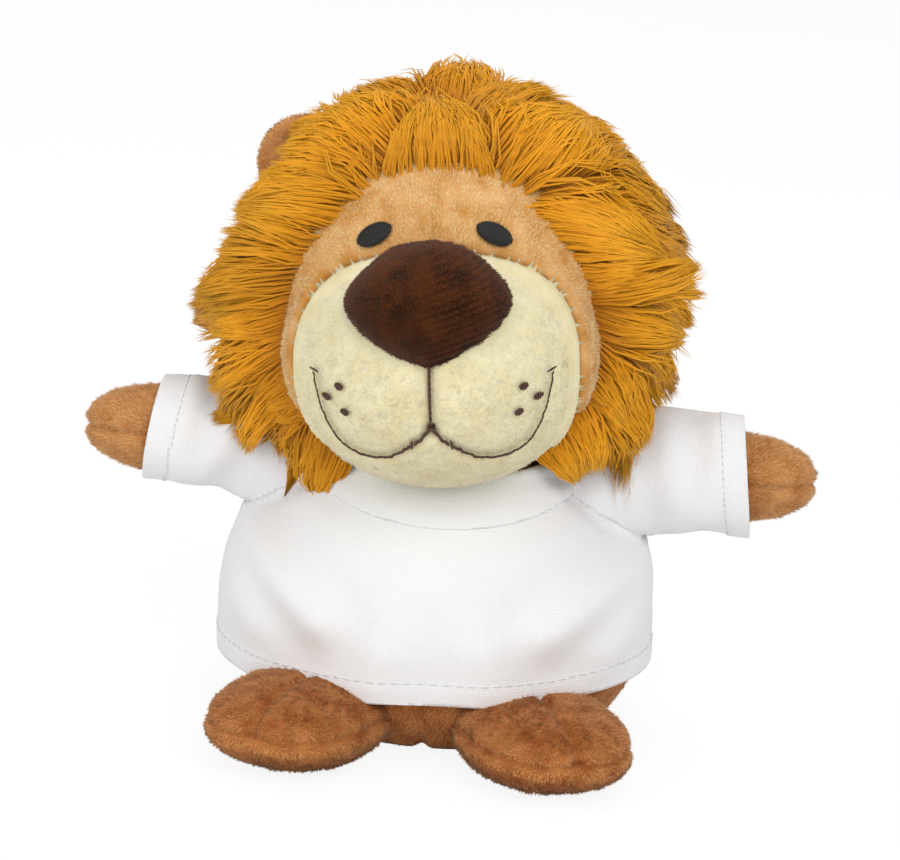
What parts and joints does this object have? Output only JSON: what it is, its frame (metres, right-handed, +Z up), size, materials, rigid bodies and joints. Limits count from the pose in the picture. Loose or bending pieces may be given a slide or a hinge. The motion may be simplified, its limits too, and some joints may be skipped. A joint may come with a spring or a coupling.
{
  "type": "plush lion",
  "caption": "Stuffed toy lion with a long-pile mane, round snout and raglan T-shirt; head, arms, feet and tail turn on soft seams.",
  "frame": {"origin": "centre of the flat seat that the lion rests on", "axes": "+Z up, the lion faces -Y, its left arm points to +X"},
  "size_m": [0.162, 0.1523, 0.1459],
  "materials": {
    "brown_plush": "short-pile brown plush",
    "tan_plush": "short-pile tan plush",
    "cream_plush": "short-pile cream plush",
    "nose_plush": "short-pile dark brown plush",
    "mane_pile": "long-pile golden plush, combed outward",
    "thread": "black satin stitch",
    "mouth_thread": "brown stitching",
    "jersey": "white cotton jersey, matt",
    "stuffing": "white polyester fibre",
    "pellets": "small plastic pellets in a cloth bag"
  },
  "bodies": {
    "torso": {"body_front_left": "brown_plush", "body_front_right": "brown_plush", "body_back": "brown_plush", "seat_panel": "brown_plush", "body_stuffing": "stuffing", "pellet_bag": "pellets", "shirt_front": "jersey", "shirt_back": "jersey", "shirt_collar": "jersey"},
    "head": {"face_panel": "tan_plush", "muzzle_panel": "cream_plush", "head_base_panel": "tan_plush", "head_stuffing": "stuffing", "nose_cover": "nose_plush", "nose_stuffing": "stuffing", "mane_ruff": "mane_pile", "mane_back": "mane_pile", "ear_left_front": "brown_plush", "ear_left_back": "tan_plush", "ear_right_front": "brown_plush", "ear_right_back": "tan_plush", "eye_left": "thread", "eye_right": "thread", "lip_seam": "mouth_thread", "smile_left": "mouth_thread", "smile_right": "mouth_thread", "whisker_dot_left_1": "mouth_thread", "whisker_dot_left_2": "mouth_thread", "whisker_dot_left_3": "mouth_thread", "whisker_dot_right_1": "mouth_thread", "whisker_dot_right_2": "mouth_thread", "whisker_dot_right_3": "mouth_thread"},
    "arm_left": {"arm_left_upper": "brown_plush", "arm_left_lower": "brown_plush", "arm_left_stuffing": "stuffing", "shirt_sleeve_left": "jersey"},
    "arm_right": {"arm_right_upper": "brown_plush", "arm_right_lower": "brown_plush", "arm_right_stuffing": "stuffing", "shirt_sleeve_right": "jersey"},
    "foot_left": {"foot_left_inner": "brown_plush", "foot_left_outer": "brown_plush", "foot_left_sole": "brown_plush", "foot_left_stuffing": "stuffing"},
    "foot_right": {"foot_right_inner": "brown_plush", "foot_right_outer": "brown_plush", "foot_right_sole": "brown_plush", "foot_right_stuffing": "stuffing"},
    "tail": {"tail_tube": "brown_plush", "tail_tuft": "mane_pile"}
  },
  "joints": [
    {"name": "neck_turn", "type": "hinge", "parent": "torso", "child": "head", "pos_m": [0, -0.002, 0.095], "axis": [0, 0, 1], "range_deg": [-12, 12], "stiffness_Nm_per_rad": 0.05},
    {"name": "shoulder_left_lift", "type": "hinge", "parent": "torso", "child": "arm_left", "pos_m": [0.04277, 0, 0.05908], "axis": [0, -1, 0], "range_deg": [-25, 18], "stiffness_Nm_per_rad": 0.02, "deforming": ["shirt_sleeve_left"]},
    {"name": "shoulder_right_lift", "type": "hinge", "parent": "torso", "child": "arm_right", "pos_m": [-0.04277, 0, 0.05908], "axis": [0, 1, 0], "range_deg": [-25, 18], "stiffness_Nm_per_rad": 0.02, "deforming": ["shirt_sleeve_right"]},
    {"name": "foot_left_lift", "type": "hinge", "parent": "torso", "child": "foot_left", "pos_m": [0.02443, -0.03032, 0.00925], "axis": [-0.9563, -0.2924, 0], "range_deg": [0, 12], "stiffness_Nm_per_rad": 0.02},
    {"name": "foot_right_lift", "type": "hinge", "parent": "torso", "child": "foot_right", "pos_m": [-0.02443, -0.03032, 0.00925], "axis": [-0.9563, 0.2924, 0], "range_deg": [0, 12], "stiffness_Nm_per_rad": 0.02},
    {"name": "tail_swing", "type": "hinge", "parent": "torso", "child": "tail", "pos_m": [0, 0.041, 0.00612], "axis": [0, 0, 1], "range_deg": [-25, 25], "stiffness_Nm_per_rad": 0.002}
  ]
}
